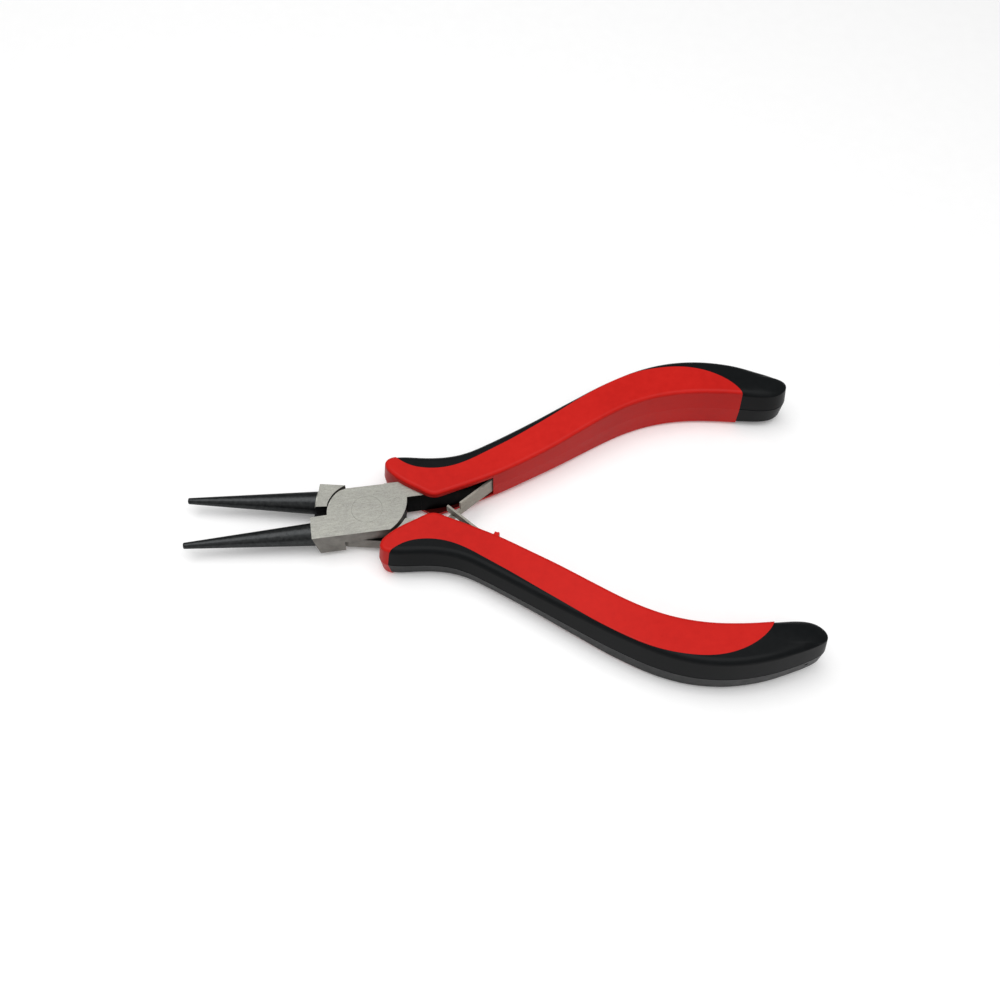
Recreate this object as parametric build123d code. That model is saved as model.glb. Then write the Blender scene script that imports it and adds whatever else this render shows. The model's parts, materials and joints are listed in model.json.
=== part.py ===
from build123d import *
import math
import os

# Round nose pliers for jewellery work.
# Two crossed halves turn on a flush rivet. Each half is one forging: a tapering
# round jaw, a full-thickness shoulder, a half-thickness joint plate and a tang.
# The halves are the same forging turned over about the closing line of the jaws.
# Working axes: +X towards the handles, +Y towards the far handle, +Z up.
# The geometry is laid out with the rivet axis at the origin and moved to the
# final origin (middle of the overall box, underside at z = 0) at the end.
# Everything is drawn fully open, as it rests.

# ---- driving dimensions, mm ----
OPEN_HALF = 7.35          # each half turns this far from closed to fully open, degrees
JAW_SET = 2.5             # closing line of the jaws is set over by this, degrees
HANDLE_SET = 0.6          # centreline of the handles stands this far beyond the rivet

STEEL_T = 5.5             # shoulder and joint thickness
LAP_GAP = 0.04            # each joint plate stops this far short of mid-plane
JAW_TIP_X = -36.85        # jaw tip, from the rivet
JAW_BASE_X = -10.6        # where the cone runs into the shoulder
JAW_TIP_R = 0.62
JAW_BASE_R = 2.36
JAW_GAP = 0.03            # each cone stands this far off the closing line when closed

PLATE_C = (-1.622, -0.104)  # rounded front of the joint plate
PLATE_R = 6.4
WALL_CLEAR = 0.13         # shoulder wall round the other plate, when closed
HEEL_C = (-0.94, 2.19)    # joint plate, handle side
HEEL_R = 9.17
HEEL_WALL_C = (-1.46, -1.88)
HEEL_WALL_R = 9.92
TANG_IN = 1.5             # inner side of the tang where it leaves the joint

RIVET_R = 3.1
RIVET_CLEAR = 0.03        # running fit in the half that turns on it

SPRING_T = 0.45           # leaf spring thickness
SPRING_W = 3.9            # leaf spring width
SPRING_ROOT = (25.4, 7.8)
SPRING_TIP = (15.94, -0.85)
SPRING_EYE_R = 0.45
SPRING_EYE_CLEAR = 0.08
TONGUE_LEN = 3.4          # narrow tongue at the free end
TONGUE_SPLIT = 0.12       # tongue stops this far from mid-width

WINDOW_HALF = 2.9         # half height of the window in the grip's inner wall
RED_ROUND = 0.75          # rim rounding of the hard red shell
BLACK_ROUND = 1.3         # rim rounding of the soft black back
PARTING_WIDTH = 0.18      # parting groove along the black back
PARTING_DEPTH = 0.16

# grip outline on its parting plane, round the piece from the nose,
# along the outer side to the tail and back along the inner side;
# third value is the draft of the wall in degrees
GRIP_OUTLINE = [
    (2.75, 9.45, 6), (2.9, 10.65, 7), (3.8, 11.65, 8), (5.4, 12.12, 9),
    (8.0, 12.2, 10), (11.0, 12.08, 11), (14.0, 12.15, 11), (17.0, 12.62, 11),
    (20.0, 13.68, 11), (23.0, 15.28, 11), (26.5, 17.35, 11), (30.0, 19.5, 11),
    (34.0, 22.0, 11), (38.0, 24.5, 10), (42.0, 27.0, 10), (46.0, 29.42, 9),
    (50.0, 31.65, 9), (54.0, 33.65, 9), (58.0, 35.2, 9), (62.0, 36.22, 9),
    (66.0, 36.7, 9), (70.0, 36.68, 9), (74.0, 36.15, 9), (78.0, 35.2, 9),
    (81.3, 34.05, 9), (84.0, 32.95, 8), (86.1, 31.85, 7), (87.3, 30.75, 6),
    (87.55, 29.6, 6), (87.1, 28.4, 6), (86.0, 27.3, 6), (84.3, 26.6, 5),
    (81.8, 26.4, 4), (78.5, 26.7, 3),
    (74.0, 27.1, 2.5), (70.0, 27.25, 2), (66.0, 27.1, 2), (62.0, 26.55, 2),
    (58.0, 25.55, 2), (54.0, 24.0, 2), (50.0, 21.9, 2), (46.0, 19.4, 2),
    (42.0, 16.75, 2), (38.0, 14.12, 2), (34.0, 11.7, 2), (30.0, 9.38, 2),
    (26.5, 7.48, 2), (23.0, 5.83, 2), (20.0, 4.5, 2), (17.2, 3.3, 2.5),
    (15.1, 2.38, 3), (13.6, 1.9, 3), (12.2, 2.1, 3), (10.6, 2.95, 3),
    (8.4, 4.2, 3), (6.3, 5.5, 3), (4.55, 6.85, 4), (3.3, 8.15, 5),
]
# half thickness of the grip along its length: front, flat middle, tail
GRIP_FRONT_T = [(-6.0, 4.3), (4.0, 4.3), (14.0, 4.2), (24.0, 4.05), (33.0, 4.1),
                (40.0, 4.5), (46.0, 4.95), (51.0, 5.2), (57.0, 5.3)]
GRIP_TAIL_T = [(75.0, 5.3), (83.0, 5.2), (96.0, 4.8)]
# line where the two plastics of a grip meet, seen from above
COLOUR_LINE = [
    (4.05, 12.6), (4.75, 11.7), (6.3, 10.3), (8.6, 9.05), (11.2, 8.5), (13.8, 8.5),
    (16.4, 9.0), (19.5, 10.25), (24.0, 12.95), (28.5, 15.8), (33.0, 18.9),
    (38.0, 22.4), (43.7, 26.45), (49.4, 29.95), (55.0, 32.6), (60.5, 33.95),
    (65.6, 34.2), (70.2, 33.2), (74.2, 31.0), (76.8, 28.3), (77.9, 25.6),
]
# tang inside the grip
TANG_INNER = [(10.5, 2.7), (13.5, 3.27), (16.0, 3.8), (20.0, 5.55), (24.0, 7.9),
              (28.0, 10.35), (34.0, 14.1), (40.0, 18.0), (46.0, 22.0), (52.0, 25.7),
              (58.0, 28.5), (64.0, 29.9), (70.0, 30.2), (78.0, 29.6)]
TANG_OUTER = [(78.0, 32.4), (70.0, 33.6), (64.0, 33.4), (58.0, 32.3), (52.0, 30.0),
              (46.0, 26.8), (40.0, 22.9), (34.0, 19.3), (28.0, 15.6), (24.0, 13.1),
              (20.0, 10.7), (16.0, 8.7), (12.0, 7.2), (9.0, 6.5)]

HALF = STEEL_T / 2


def poly(points):
    return make_face(Polyline(*[(x, y) for x, y in points], close=True))


def prism(face, z0, z1):
    return Pos(0, 0, z0) * extrude(face, amount=z1 - z0, dir=(0, 0, 1))


# ---------------------------------------------------------------- jaw and joint
def edge_y(x, near):
    # near and far edges of the joint, slightly tapering
    if near:
        return -5.2 - 0.022 * (x + 11.5)
    return 5.68 - 0.03 * (x + 2.4)


def jaw_and_joint():
    # outlines, closing line along y = 0
    gap = 0.05
    shoulder = poly([(-12.6, edge_y(-12.6, True)), (0.0, edge_y(0.0, True)),
                     (0.0, -gap), (-12.6, -gap)])
    shoulder = prism(shoulder, -HALF, HALF)
    # full-thickness part ends at the wall round the other plate
    shoulder -= Pos(PLATE_C[0], -PLATE_C[1], -HALF - 1) * Cylinder(
        PLATE_R + WALL_CLEAR, HALF + 1 + LAP_GAP, align=(Align.CENTER, Align.CENTER, Align.MIN))
    # joint plate
    band = prism(poly([(-9.0, edge_y(-9.0, True)), (12.0, edge_y(12.0, True)),
                       (12.0, edge_y(12.0, False)), (-3.5, edge_y(-3.5, False)),
                       (-5.9, 5.12), (-9.0, 4.6)]), LAP_GAP, HALF)
    disc = Pos(PLATE_C[0], PLATE_C[1], LAP_GAP) * Cylinder(
        PLATE_R, HALF - LAP_GAP, align=(Align.CENTER, Align.CENTER, Align.MIN))
    right = prism(poly([(0, -9), (14, -9), (14, 9), (0, 9)]), LAP_GAP, HALF)
    left = prism(poly([(-10, -9), (0, -9), (0, 9), (-10, 9)]), LAP_GAP, HALF)
    near_left = prism(poly([(-9, -9), (0, -9), (0, -gap), (-9, -gap)]), LAP_GAP, HALF)
    heel = Pos(HEEL_C[0], HEEL_C[1], LAP_GAP) * Cylinder(
        HEEL_R, HALF - LAP_GAP, align=(Align.CENTER, Align.CENTER, Align.MIN))
    plate = (band & disc & left) + (band & near_left) + (band & right & heel)
    # tang leaving the joint, full thickness outside the wall round the other heel
    tang = prism(poly([(4.0, TANG_IN), (15.0, TANG_IN), (15.0, 5.25), (4.0, 5.6)]), -HALF, HALF)
    tang -= Pos(HEEL_WALL_C[0], HEEL_WALL_C[1], -HALF - 1) * Cylinder(
        HEEL_WALL_R, HALF + 1 + LAP_GAP, align=(Align.CENTER, Align.CENTER, Align.MIN))
    body = shoulder + plate + tang
    # front of the shoulder leans back towards the underside
    p1, p2, p3 = Vector(-11.45, -5.05, HALF), Vector(-10.35, -5.05, -HALF), Vector(-10.85, 0, 0)
    n = (p2 - p1).cross(p3 - p1).normalized()
    if n.X > 0:
        n = n * -1
    cutter = Plane(origin=p1, z_dir=n) * Box(40, 40, 10, align=(Align.CENTER, Align.CENTER, Align.MIN))
    body -= cutter
    # ground facet under the front inner corner
    q1, q2, q3 = Vector(-10.4, -4.9, -HALF), Vector(-7.7, -0.6, -HALF), Vector(-10.6, -gap, -HALF + 0.6)
    m = (q2 - q1).cross(q3 - q1).normalized()
    if m.Z > 0:
        m = m * -1
    body -= Plane(origin=q1, z_dir=m) * Box(40, 40, 10, align=(Align.CENTER, Align.CENTER, Align.MIN))
    # tapering round jaw, its inner side on the closing line
    slope = (JAW_BASE_R - JAW_TIP_R) / (JAW_BASE_X - JAW_TIP_X)
    root_x = JAW_BASE_X + 2.0
    root_r = JAW_BASE_R + 2.0 * slope
    tip = Vector(JAW_TIP_X, -JAW_TIP_R - JAW_GAP, 0)
    root = Vector(root_x, -root_r - JAW_GAP, 0)
    axis = root - tip
    cone = Plane(origin=tip, z_dir=axis.normalized()) * Cone(
        JAW_TIP_R, root_r, axis.length, align=(Align.CENTER, Align.CENTER, Align.MIN))
    cone = fillet(cone.edges().sort_by(Axis.X)[0], 0.22)
    body += cone
    return body


# ---------------------------------------------------------------- tang in the handle
def handle_tang():
    inner = Spline(*TANG_INNER)
    outer = Spline(*TANG_OUTER)
    tail = Line(TANG_INNER[-1], TANG_OUTER[0])
    root = Line(TANG_OUTER[-1], TANG_INNER[0])
    face = make_face(inner + tail + outer + root)
    return prism(face, -HALF, HALF)


# ---------------------------------------------------------------- grip
def grip_blank():
    pts = [(x, y) for x, y, _ in GRIP_OUTLINE]
    n = len(pts)
    height = 7.0
    inset = []
    for i, (x, y, draft) in enumerate(GRIP_OUTLINE):
        xa, ya = pts[(i - 1) % n]
        xb, yb = pts[(i + 1) % n]
        tx, ty = xb - xa, yb - ya
        length = math.hypot(tx, ty)
        # the outline runs clockwise, so its inside lies to the right
        nx, ny = ty / length, -tx / length
        d = height * math.tan(math.radians(draft))
        inset.append((x + nx * d, y + ny * d))
    low = make_face(Spline(*pts, periodic=True))
    high = Pos(0, 0, height) * make_face(Spline(*inset, periodic=True))
    upper = loft([low, high], ruled=True)
    lower = mirror(upper, about=Plane.XY)
    # thickness along the handle
    def rail(sign):
        front = [(x, sign * t) for x, t in GRIP_FRONT_T]
        tail = [(x, sign * t) for x, t in GRIP_TAIL_T]
        return (Spline(*front, tangents=[(1, 0), (1, 0)]) + Line(front[-1], tail[0])
                + Spline(*tail, tangents=[(1, 0), (1, -sign * 0.04)]))

    a, b = GRIP_FRONT_T[0], GRIP_TAIL_T[-1]
    side = make_face(rail(1) + Line(b, (b[0], -b[1])) + rail(-1) + Line((a[0], -a[1]), a))
    side = Plane.XZ * side
    side = Pos(0, 60, 0) * extrude(side, amount=80)
    return upper & side, lower & side


def rounded(upper, lower, radius):
    # rims of the two faces rounded
    rim = [e for e in upper.edges()
           if e.bounding_box().min.Z > 3.2 and e.bounding_box().size.X > 0.01]
    upper = fillet(rim, radius)
    rim = [e for e in lower.edges()
           if e.bounding_box().max.Z < -3.2 and e.bounding_box().size.X > 0.01]
    lower = fillet(rim, radius)
    return upper, lower


def parting_groove():
    # shallow groove at mid-height round the outside of the blank
    pts = [(x, y) for x, y, _ in GRIP_OUTLINE]
    n = len(pts)
    grown, shrunk = [], []
    for i, (x, y) in enumerate(pts):
        xa, ya = pts[(i - 1) % n]
        xb, yb = pts[(i + 1) % n]
        length = math.hypot(xb - xa, yb - ya)
        nx, ny = (yb - ya) / length, -(xb - xa) / length
        grown.append((x - nx * 0.5, y - ny * 0.5))
        shrunk.append((x + nx * PARTING_DEPTH, y + ny * PARTING_DEPTH))
    ring = make_face(Spline(*grown, periodic=True)) - make_face(Spline(*shrunk, periodic=True))
    return prism(ring, -PARTING_WIDTH / 2, PARTING_WIDTH / 2)


def outer_zone():
    line = Spline(*COLOUR_LINE)
    rest = Polyline(COLOUR_LINE[-1], (78.0, 15.0), (100.0, 15.0), (100.0, 50.0),
                    (3.0, 50.0), COLOUR_LINE[0])
    return prism(make_face(line + rest), -12, 12)


def spring():
    root, tip = Vector(*SPRING_ROOT), Vector(*SPRING_TIP)
    run = root - tip
    ang = math.degrees(math.atan2(run.Y, run.X))
    length = run.length
    strip = Box(length, SPRING_T, SPRING_W, align=(Align.MIN, Align.CENTER, Align.CENTER))
    # free end narrowed to a tongue on the lower side so the two springs pass
    strip -= Pos(-1, 0, -TONGUE_SPLIT) * Box(TONGUE_LEN + 1, 2, SPRING_W,
                                             align=(Align.MIN, Align.CENTER, Align.MIN))
    eye = Pos(length, 0, 0) * Cylinder(SPRING_EYE_R, SPRING_W)
    whole = strip + eye
    return Pos(tip.X, tip.Y, 0) * Rot(0, 0, ang) * whole


os.makedirs("parts", exist_ok=True)

jaw = jaw_and_joint()
tang = handle_tang()
upper_blank, lower_blank = grip_blank()
upper_hard, lower_hard = rounded(upper_blank, lower_blank, RED_ROUND)
upper_soft, lower_soft = rounded(upper_blank, lower_blank, BLACK_ROUND)
groove = parting_groove()
zone = outer_zone()
leaf = spring()


def jaw_a(s):
    return Rot(0, 0, OPEN_HALF + JAW_SET) * s


def jaw_b(s):
    return Rot(0, 0, -OPEN_HALF + JAW_SET) * Rot(180, 0, 0) * s


def handle_a(s):
    return Pos(0, HANDLE_SET, 0) * s


def handle_b(s):
    return Pos(0, HANDLE_SET, 0) * Rot(180, 0, 0) * s


bore_run = Cylinder(RIVET_R + RIVET_CLEAR, 20)
bore_fast = Cylinder(RIVET_R, 20)
half_a = jaw_a(jaw) + handle_a(tang) - bore_run
half_b = jaw_b(jaw) + handle_b(tang) - bore_fast
rivet = Cylinder(RIVET_R, STEEL_T)

# window in the inner wall beside the tang
window = prism(poly([(8.0, -4.0), (25.1, -4.0), (25.1, 7.2), (24.7, 8.5), (23.0, 7.7),
                     (16.0, 4.2), (8.0, 3.2)]), -WINDOW_HALF, WINDOW_HALF)
# seat for the rolled end of the leaf spring, opening into the window
seat = Pos(SPRING_ROOT[0], SPRING_ROOT[1], 0) * Cylinder(
    SPRING_EYE_R + SPRING_EYE_CLEAR, SPRING_W + 0.2)
mouth = prism(poly([(25.5, 7.45), (25.5, 8.15), (24.6, 8.0), (24.2, 6.3)]),
              -SPRING_W / 2 - 0.1, SPRING_W / 2 + 0.1)


def grips(place, steel):
    soft = place(upper_soft) + place(lower_soft) - steel
    hard = place(upper_hard) + place(lower_hard) - steel
    black = (soft & place(zone)) - place(groove)
    red = hard - place(zone) - place(window) - place(seat) - place(mouth)
    return red, black


red_a, black_a = grips(handle_a, half_a)
red_b, black_b = grips(handle_b, half_b)
# mould gate left standing on the rim of the lower red shell
gate = Pos(25.75, 7.25, -3.35) * Rot(0, 0, 27) * (
    Box(1.0, 0.95, 1.1) + Pos(0.25, -0.35, -0.1) * Cylinder(0.28, 0.9))
red_b = red_b + handle_b(gate)
# small nick in the outer side of the lower black tail
black_b = black_b - handle_b(Pos(83.9, 32.75, 1.6) * Sphere(0.42))
spring_a = handle_a(leaf)
spring_b = handle_b(leaf)

pieces = {
    "half_upper": half_a,
    "half_lower": half_b,
    "pivot_rivet": rivet,
    "spring_upper": spring_a,
    "spring_lower": spring_b,
    "grip_red_upper": red_a,
    "grip_black_upper": black_a,
    "grip_red_lower": red_b,
    "grip_black_lower": black_b,
}

# final origin: middle of the overall box in plan, underside at z = 0
boxes = [p.bounding_box() for p in pieces.values()]
SHIFT_X = -(min(b.min.X for b in boxes) + max(b.max.X for b in boxes)) / 2
SHIFT_Y = -(min(b.min.Y for b in boxes) + max(b.max.Y for b in boxes)) / 2
SHIFT_Z = -min(b.min.Z for b in boxes)
print("origin shift", round(SHIFT_X, 4), round(SHIFT_Y, 4), round(SHIFT_Z, 4))
for name, solid in pieces.items():
    moved = Pos(SHIFT_X, SHIFT_Y, SHIFT_Z) * solid
    sol = moved.solids()
    print(name, "solids", len(sol), "volume", [round(s.volume, 2) for s in sol],
          "valid", [s.is_valid for s in sol])
    export_step(moved, "parts/%s.step" % name)
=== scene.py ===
import json
import math
import bpy
import bmesh
from mathutils import Vector, Matrix


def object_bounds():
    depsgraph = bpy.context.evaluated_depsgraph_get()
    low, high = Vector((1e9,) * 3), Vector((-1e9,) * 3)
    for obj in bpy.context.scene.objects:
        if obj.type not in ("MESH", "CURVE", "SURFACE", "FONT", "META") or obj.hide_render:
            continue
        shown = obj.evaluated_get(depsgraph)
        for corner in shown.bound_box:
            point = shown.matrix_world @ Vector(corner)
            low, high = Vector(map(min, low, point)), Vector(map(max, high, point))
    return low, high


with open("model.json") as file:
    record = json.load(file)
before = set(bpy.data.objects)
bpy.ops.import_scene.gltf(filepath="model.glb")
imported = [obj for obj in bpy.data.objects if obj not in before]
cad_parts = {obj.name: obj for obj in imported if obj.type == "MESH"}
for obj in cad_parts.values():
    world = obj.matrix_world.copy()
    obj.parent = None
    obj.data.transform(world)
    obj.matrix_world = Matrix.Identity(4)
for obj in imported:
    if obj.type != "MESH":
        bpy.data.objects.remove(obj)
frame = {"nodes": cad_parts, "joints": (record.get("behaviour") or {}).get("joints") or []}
CAD_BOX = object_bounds()
nodes = frame["nodes"]
joints = {j["name"]: j for j in frame["joints"]}
PIVOT = Vector(joints["rivet_pivot"]["pos_m"])


# ------------------------------------------------------------------ node helpers
def new_mat(name):
    m = bpy.data.materials.new(name)
    m.use_nodes = True
    nt = m.node_tree
    for n in list(nt.nodes):
        nt.nodes.remove(n)
    out = nt.nodes.new("ShaderNodeOutputMaterial")
    bsdf = nt.nodes.new("ShaderNodeBsdfPrincipled")
    nt.links.new(bsdf.outputs[0], out.inputs[0])
    return m, nt, bsdf


def N(nt, kind, **kw):
    n = nt.nodes.new(kind)
    for k, v in kw.items():
        setattr(n, k, v)
    return n


def noise(nt, vec, scale, detail=3.0, rough=0.55, dist=0.0):
    n = N(nt, "ShaderNodeTexNoise")
    n.inputs["Scale"].default_value = scale
    n.inputs["Detail"].default_value = detail
    n.inputs["Roughness"].default_value = rough
    n.inputs["Distortion"].default_value = dist
    nt.links.new(vec, n.inputs["Vector"])
    return n.outputs[0]


def mapping(nt, vec, scale=(1, 1, 1), rot=(0, 0, 0), loc=(0, 0, 0)):
    m = N(nt, "ShaderNodeMapping")
    m.inputs["Scale"].default_value = scale
    m.inputs["Rotation"].default_value = rot
    m.inputs["Location"].default_value = loc
    nt.links.new(vec, m.inputs["Vector"])
    return m.outputs[0]


def ramp(nt, fac, stops):
    r = N(nt, "ShaderNodeValToRGB")
    el = r.color_ramp.elements
    while len(el) > 1:
        el.remove(el[-1])
    el[0].position = stops[0][0]
    el[0].color = stops[0][1]
    for p, c in stops[1:]:
        e = el.new(p)
        e.color = c
    nt.links.new(fac, r.inputs[0])
    return r.outputs[0]


def g(v, a=1.0):
    return (v, v, v, a)


def mrange(nt, val, a, b, c, d, clamp=True):
    m = N(nt, "ShaderNodeMapRange")
    m.clamp = clamp
    m.inputs[1].default_value = a
    m.inputs[2].default_value = b
    m.inputs[3].default_value = c
    m.inputs[4].default_value = d
    nt.links.new(val, m.inputs[0])
    return m.outputs[0]


def math_node(nt, op, a, b=None, clamp=False):
    m = N(nt, "ShaderNodeMath", operation=op)
    m.use_clamp = clamp
    for i, v in enumerate((a, b)):
        if v is None:
            continue
        if isinstance(v, (int, float)):
            m.inputs[i].default_value = v
        else:
            nt.links.new(v, m.inputs[i])
    return m.outputs[0]


def mix_rgb(nt, fac, a, b, mode="MIX"):
    m = N(nt, "ShaderNodeMix", data_type="RGBA", blend_type=mode)
    if isinstance(fac, (int, float)):
        m.inputs[0].default_value = fac
    else:
        nt.links.new(fac, m.inputs[0])
    for i, v in ((6, a), (7, b)):
        if isinstance(v, tuple):
            m.inputs[i].default_value = v
        else:
            nt.links.new(v, m.inputs[i])
    return m.outputs[2]


def mix_val(nt, fac, a, b):
    m = N(nt, "ShaderNodeMix", data_type="FLOAT")
    if isinstance(fac, (int, float)):
        m.inputs[0].default_value = fac
    else:
        nt.links.new(fac, m.inputs[0])
    for i, v in ((2, a), (3, b)):
        if isinstance(v, (int, float)):
            m.inputs[i].default_value = v
        else:
            nt.links.new(v, m.inputs[i])
    return m.outputs[0]


def bump(nt, height, strength, distance, normal=None):
    b = N(nt, "ShaderNodeBump")
    b.inputs["Strength"].default_value = strength
    b.inputs["Distance"].default_value = distance
    nt.links.new(height, b.inputs["Height"])
    if normal is not None:
        nt.links.new(normal, b.inputs["Normal"])
    return b.outputs[0]


# ------------------------------------------------------------------ materials
def ground_steel(name, grain_deg, tone=0.40, oxide=None, dark_walls=True, warm=1.0):
    """Ground steel with fine scratches along one direction; oxide gives the
    body-space tests for the black, unground parts of a forged half, and a second mask for painted shade on those parts
    in the gaps and the grip window."""
    m, nt, b = new_mat(name)
    geo = N(nt, "ShaderNodeTexCoord").outputs["Object"]
    rot = mapping(nt, geo, rot=(0, 0, math.radians(-grain_deg)))
    fine = noise(nt, mapping(nt, rot, scale=(1700, 9500, 9000)), 1.0, 3.0, 0.65)
    mid = noise(nt, mapping(nt, rot, scale=(420, 2300, 2300)), 1.0, 4.0, 0.65)
    cloud = noise(nt, geo, 420.0, 4.0, 0.6)
    pits = noise(nt, geo, 2600.0, 2.0, 0.5)
    speck = noise(nt, geo, 6500.0, 2.0, 0.7)
    tone_f = math_node(nt, "ADD", math_node(nt, "MULTIPLY", fine, 0.38),
                       math_node(nt, "ADD", math_node(nt, "MULTIPLY", mid, 0.24),
                                 math_node(nt, "MULTIPLY", speck, 0.38)))
    col = ramp(nt, tone_f, [(0.34, (tone * 0.62, tone * 0.62 * warm, tone * 0.57 * warm * warm, 1)),
                            (0.50, (tone, tone * 0.995 * warm, tone * 0.89 * warm * warm, 1)),
                            (0.66, (tone * 1.34, tone * 1.335 * warm, tone * 1.22 * warm * warm, 1))])
    col = mix_rgb(nt, mrange(nt, cloud, 0.35, 0.7, 0.0, 0.30), col,
                  (tone * 0.83, tone * 0.82, tone * 0.77, 1))
    spots = mrange(nt, pits, 0.70, 0.78, 0.0, 0.65)
    col = mix_rgb(nt, spots, col, (0.07, 0.065, 0.06, 1))
    rough = mrange(nt, tone_f, 0.34, 0.66, 0.52, 0.36)
    wall_n = N(nt, "ShaderNodeSeparateXYZ")
    nt.links.new(N(nt, "ShaderNodeNewGeometry").outputs["Normal"], wall_n.inputs[0])
    wall = mrange(nt, math_node(nt, "ABSOLUTE", wall_n.outputs[2]), 0.5, 0.7, 1.0, 0.0)
    wall_c = mix_rgb(nt, mrange(nt, cloud, 0.3, 0.7, 0.0, 1.0), (0.145, 0.138, 0.126, 1),
                     (0.235, 0.224, 0.206, 1))
    if dark_walls:
        col = mix_rgb(nt, wall, col, wall_c)
        rough = mix_val(nt, wall, rough, 0.52)
    height = math_node(nt, "ADD", fine, math_node(nt, "MULTIPLY", mid, 0.7))
    nrm = bump(nt, height, 0.22, 0.00004)
    metal = 0.85
    if oxide is not None:
        fac, painted_shade = oxide(nt, geo)
        ox_n = noise(nt, geo, 1500.0, 4.0, 0.65)
        ox_c = ramp(nt, ox_n, [(0.25, (0.022, 0.0235, 0.0245, 1)), (0.75, (0.052, 0.054, 0.055, 1))])
        # painted shade: the oxide goes near black on the tang sides in the grip window, on the inner faces at the
        # shoulder and on the mating face under the upper plate
        ox_c = mix_rgb(nt, painted_shade, ox_c, (0.0035, 0.0035, 0.0037, 1))
        col = mix_rgb(nt, fac, col, ox_c)
        rough = mix_val(nt, fac, rough, mrange(nt, ox_n, 0.3, 0.7, 0.27, 0.38))
        nrm2 = bump(nt, ox_n, 0.25, 0.00005)
        mixn = N(nt, "ShaderNodeMix", data_type="VECTOR")
        nt.links.new(fac, mixn.inputs[0])
        nt.links.new(nrm, mixn.inputs[4])
        nt.links.new(nrm2, mixn.inputs[5])
        nrm = mixn.outputs[1]
    nt.links.new(col, b.inputs["Base Color"])
    nt.links.new(rough, b.inputs["Roughness"])
    nt.links.new(nrm, b.inputs["Normal"])
    b.inputs["Metallic"].default_value = metal
    b.inputs["Specular Tint"].default_value = (0.45, 0.45, 0.45, 1)
    return m


def oxide_mask(angle_deg):
    """First mask: 1 on the round jaw and on the tang, 0 on the ground shoulder and plate. Second mask: painted shade,
    near black, on the tang sides, on the inner faces at the shoulder and on the lower half's mating face under the
    upper plate.
    """
    def build(nt, geo):
        # turn the closing line of this half onto X, rivet axis at the origin
        a = math.radians(angle_deg)
        shift = mapping(nt, geo, loc=(-PIVOT.x, -PIVOT.y, -PIVOT.z))
        loc = mapping(nt, shift, rot=(0, 0, -a))
        sep = N(nt, "ShaderNodeSeparateXYZ")
        nt.links.new(loc, sep.inputs[0])
        x, y, z = sep.outputs
        wob = math_node(nt, "MULTIPLY", math_node(nt, "SUBTRACT", noise(nt, geo, 900.0, 2.0), 0.5), 0.0003)
        # jaw: in front of the leaning shoulder face
        lean = math_node(nt, "ADD", x, math_node(nt, "MULTIPLY", z, 0.19 if angle_deg > 0 else -0.19))
        jaw = mrange(nt, math_node(nt, "ADD", lean, math_node(nt, "MULTIPLY", wob, 0.5)), -0.01108, -0.01102, 1.0, 0.0)
        # tang: side faces behind the joint
        nz = N(nt, "ShaderNodeNewGeometry").outputs["Normal"]
        sn = N(nt, "ShaderNodeSeparateXYZ")
        nt.links.new(nz, sn.inputs[0])
        flat = math_node(nt, "ABSOLUTE", sn.outputs[2])
        side = mrange(nt, flat, 0.5, 0.6, 1.0, 0.0)
        back = mrange(nt, math_node(nt, "ADD", x, wob), 0.0066, 0.0070, 0.0, 1.0)
        tang = math_node(nt, "MULTIPLY", side, back)
        # side faces next to the closing line of the jaws
        yy = y if angle_deg > 0 else math_node(nt, "MULTIPLY", y, -1.0)
        inner = math_node(nt, "MULTIPLY", mrange(nt, yy, -0.0011, -0.0008, 0.0, 1.0),
                          mrange(nt, x, -0.0060, -0.0052, 1.0, 0.0))
        inner = math_node(nt, "MULTIPLY", inner, side)
        # painted shade mask: near-black shade on the tang sides and on the inner faces next to the shoulder
        painted_shade = math_node(nt, "MAXIMUM", tang, math_node(nt, "MULTIPLY", inner, mrange(nt, x, -0.0112, -0.0104, 0.0, 1.0)),
                         clamp=True)
        if angle_deg < 0:
            # mating face where it shows below the upper plate: oxide roughness and a near-black painted shade for the
            # gap under the plate
            jag = math_node(nt, "MULTIPLY", math_node(nt, "SUBTRACT", noise(nt, geo, 2600.0, 2.0), 0.5), 0.0009)
            face = math_node(nt, "MULTIPLY", mrange(nt, flat, 0.9, 0.97, 0.0, 1.0),
                             mrange(nt, math_node(nt, "ADD", math_node(nt, "ABSOLUTE", z), 0.0), 0.0002, 0.0004, 1.0, 0.0))
            face = math_node(nt, "MULTIPLY", face,
                             mrange(nt, math_node(nt, "ADD", y, jag), -0.0040, -0.0041, 0.0, 1.0))
            tang = math_node(nt, "MAXIMUM", tang, face, clamp=True)
            painted_shade = math_node(nt, "MAXIMUM", painted_shade, face, clamp=True)
        return math_node(nt, "MAXIMUM", jaw, math_node(nt, "MAXIMUM", tang, inner), clamp=True), painted_shade
    return build


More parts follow.
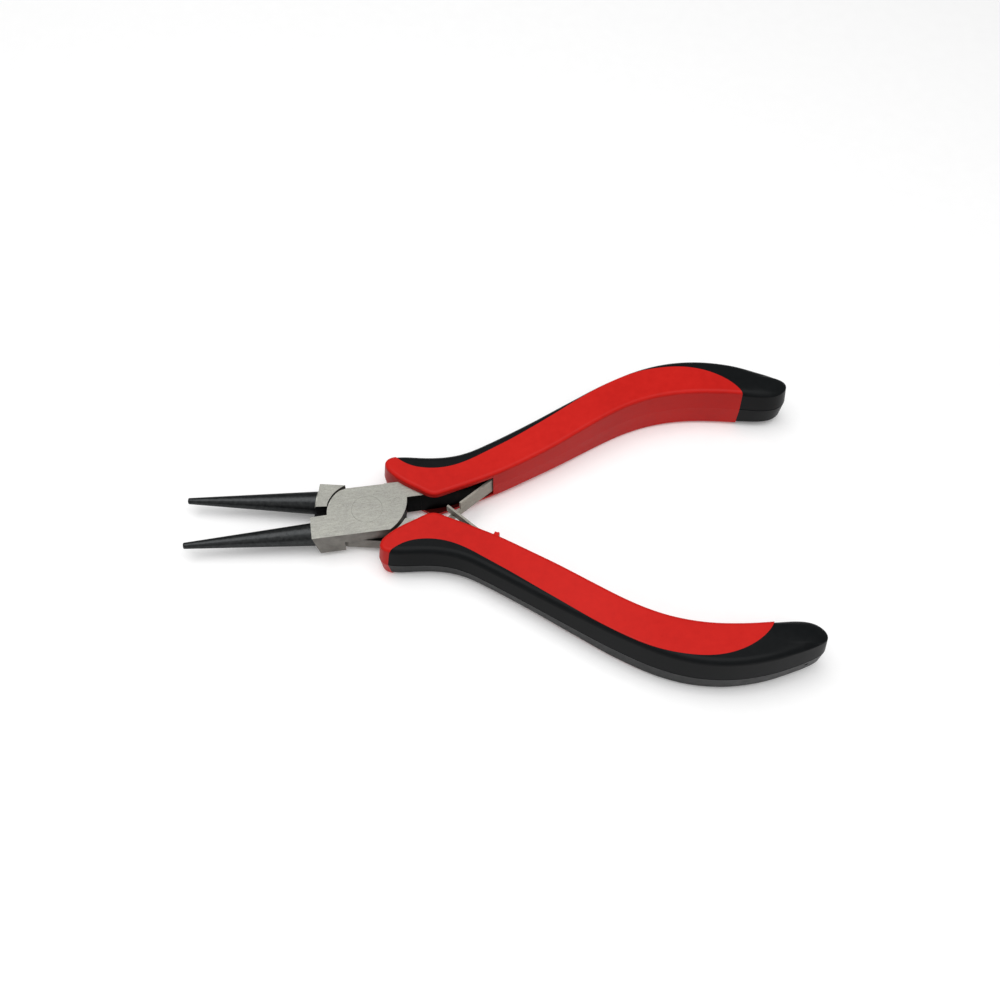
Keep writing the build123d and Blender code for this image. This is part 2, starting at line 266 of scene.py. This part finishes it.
def plastic(name, base, dark, light, rough0, rough1, grain=0.10, spec=0.18, window_shade=None):
    m, nt, b = new_mat(name)
    geo = N(nt, "ShaderNodeTexCoord").outputs["Object"]
    big = noise(nt, geo, 60.0, 3.0, 0.5)
    mid = noise(nt, geo, 700.0, 4.0, 0.6)
    tiny = noise(nt, geo, 5200.0, 3.0, 0.6)
    col = ramp(nt, math_node(nt, "ADD", math_node(nt, "MULTIPLY", big, 0.6),
                             math_node(nt, "MULTIPLY", mid, 0.4)),
               [(0.30, dark), (0.5, base), (0.72, light)])
    # side walls painted a shade darker than the top faces: painted shade for how the light falls on the walls
    wn = N(nt, "ShaderNodeSeparateXYZ")
    nt.links.new(N(nt, "ShaderNodeNewGeometry").outputs["Normal"], wn.inputs[0])
    side = mrange(nt, math_node(nt, "ABSOLUTE", wn.outputs[2]), 0.30, 0.65, 1.0, 0.0)
    col = mix_rgb(nt, side, col, mix_rgb(nt, 1.0, col, (0.80, 0.76, 0.76, 1), "MULTIPLY"))
    if window_shade is not None:
        # painted shade: the sill and roof of the window beside the tang are darkened to near black where shade falls
        # inside the window
        rel = mapping(nt, geo, loc=(-PIVOT.x, -PIVOT.y, -PIVOT.z))
        sp = N(nt, "ShaderNodeSeparateXYZ")
        nt.links.new(rel, sp.inputs[0])
        sn = N(nt, "ShaderNodeSeparateXYZ")
        nt.links.new(N(nt, "ShaderNodeNewGeometry").outputs["Normal"], sn.inputs[0])
        lev = mrange(nt, math_node(nt, "ABSOLUTE", math_node(nt, "SUBTRACT", math_node(nt, "ABSOLUTE", sp.outputs[2]), 0.0029)),
                     0.00005, 0.00012, 1.0, 0.0)
        up = mrange(nt, math_node(nt, "ABSOLUTE", sn.outputs[2]), 0.8, 0.95, 0.0, 1.0)
        fx = mrange(nt, sp.outputs[0], 0.0235, 0.0252, 1.0, 0.35)
        col = mix_rgb(nt, math_node(nt, "MULTIPLY", math_node(nt, "MULTIPLY", lev, up), fx), col, window_shade)
    rough = mrange(nt, mid, 0.3, 0.7, rough0, rough1)
    h = math_node(nt, "ADD", tiny, math_node(nt, "MULTIPLY", mid, 0.8))
    nrm = bump(nt, h, grain, 0.00006)
    nt.links.new(col, b.inputs["Base Color"])
    nt.links.new(rough, b.inputs["Roughness"])
    nt.links.new(nrm, b.inputs["Normal"])
    b.inputs["Specular IOR Level"].default_value = spec
    return m


ANG_A, ANG_B = 9.85, -4.85
steel_a = ground_steel("ground_steel_upper", ANG_A, 0.395, oxide_mask(ANG_A))
steel_b = ground_steel("ground_steel_lower", ANG_B, 0.395, oxide_mask(ANG_B))
rivet_m = ground_steel("rivet_steel", ANG_A, 0.395)
spring_m = ground_steel("spring_strip", 42, 0.34, None, False, 0.96)
# the last colour given to red_plastic is the painted shade for the window sill and roof
red_m = plastic("red_plastic", (0.565, 0.0120, 0.0082, 1), (0.50, 0.0100, 0.0070, 1),
                (0.62, 0.0150, 0.0100, 1), 0.36, 0.46, 0.16, 0.12,
                (0.055, 0.0035, 0.0030, 1))
black_m = plastic("black_plastic", (0.0062, 0.0071, 0.0077, 1), (0.0050, 0.0058, 0.0063, 1),
                  (0.0078, 0.0088, 0.0096, 1), 0.33, 0.42, 0.16, 0.08)

for node, mat in (("half_upper", steel_a), ("half_lower", steel_b), ("pivot_rivet", rivet_m),
                  ("spring_upper", spring_m), ("spring_lower", spring_m),
                  ("grip_red_upper", red_m), ("grip_red_lower", red_m),
                  ("grip_black_upper", black_m), ("grip_black_lower", black_m)):
    o = nodes[node]
    o.data.materials.clear()
    o.data.materials.append(mat)

# ------------------------------------------------------------------ floor, light, camera
lo = CAD_BOX[0] if isinstance(CAD_BOX, (tuple, list)) else None
bm = bmesh.new()
bmesh.ops.create_grid(bm, x_segments=8, y_segments=8, size=1.6)
me = bpy.data.meshes.new("floor")
bm.to_mesh(me)
bm.free()
floor = bpy.data.objects.new("floor", me)
bpy.context.scene.collection.objects.link(floor)
# the tool rests on the noses and the thickest part of its grips, so the
# surface under it leans by about one degree along the tool
TILT = math.atan2(0.00100, 0.0535)
floor.rotation_euler = (0.0, TILT, 0.0)
CONTACT_X = PIVOT.x + 0.0570
floor.location = (CONTACT_X, 0.0, -0.00005)
fm, fnt, fb = new_mat("floor_paper")
fgeo = N(fnt, "ShaderNodeTexCoord").outputs["Object"]
fn = noise(fnt, fgeo, 300.0, 3.0, 0.5)
fnt.links.new(ramp(fnt, fn, [(0.3, g(0.92)), (0.7, g(0.94))]), fb.inputs["Base Color"])
fb.inputs["Roughness"].default_value = 0.9
fb.inputs["Emission Color"].default_value = (1, 1, 1, 1)
fb.inputs["Emission Strength"].default_value = 0.11
fb.inputs["Specular IOR Level"].default_value = 0.1
me.materials.append(fm)

world = bpy.data.worlds.new("studio")
world.use_nodes = True
bpy.context.scene.world = world
bg = world.node_tree.nodes["Background"]
bg.inputs[0].default_value = (1.0, 1.0, 1.0, 1)
bg.inputs[1].default_value = 0.26


def area(name, loc, target, size, power, color=(1, 1, 1)):
    li = bpy.data.lights.new(name, "AREA")
    li.shape = "RECTANGLE"
    li.size, li.size_y = size
    li.energy = power
    li.color = color
    ob = bpy.data.objects.new(name, li)
    bpy.context.scene.collection.objects.link(ob)
    ob.location = loc
    ob.rotation_euler = (Vector(target) - Vector(loc)).to_track_quat("-Z", "Y").to_euler()
    return ob


area("key", (-0.02, -0.03, 0.60), (0, 0, 0), (0.80, 0.55), 3.75)
area("front", (0.0, -0.50, 0.45), (0, 0, 0), (0.9, 0.4), 0.45)

# camera: the tool is seen from the front and above
E, A, R = math.radians(57.0), math.radians(0.0), math.radians(0.0)
F_PX, SCALE, PPY = 1200.0, 5.0, 525.55
DIST = F_PX / SCALE / 1000.0
fwd = Vector((math.sin(A) * math.cos(E), math.cos(A) * math.cos(E), -math.sin(E)))
right = Vector((math.cos(A), -math.sin(A), 0.0))
up = right.cross(fwd)
right2 = right * math.cos(R) + up * math.sin(R)
up2 = up * math.cos(R) - right * math.sin(R)
# the look-at point, from the rivet
LOOK = PIVOT + Vector((0.02647, -0.00217 + 0.00003, 0.0))
cam = bpy.data.cameras.new("camera")
cam.lens = 36.0 * F_PX / 1000.0
cam.sensor_width = 36.0
cam.shift_y = (PPY - 500.0) / 1000.0
cam.clip_start = 0.01
cob = bpy.data.objects.new("camera", cam)
bpy.context.scene.collection.objects.link(cob)
rot = Matrix((right2, up2, -fwd)).transposed()
cob.matrix_world = Matrix.Translation(LOOK - fwd * DIST) @ rot.to_4x4()
bpy.context.scene.camera = cob
bpy.context.scene.view_settings.view_transform = "Standard"
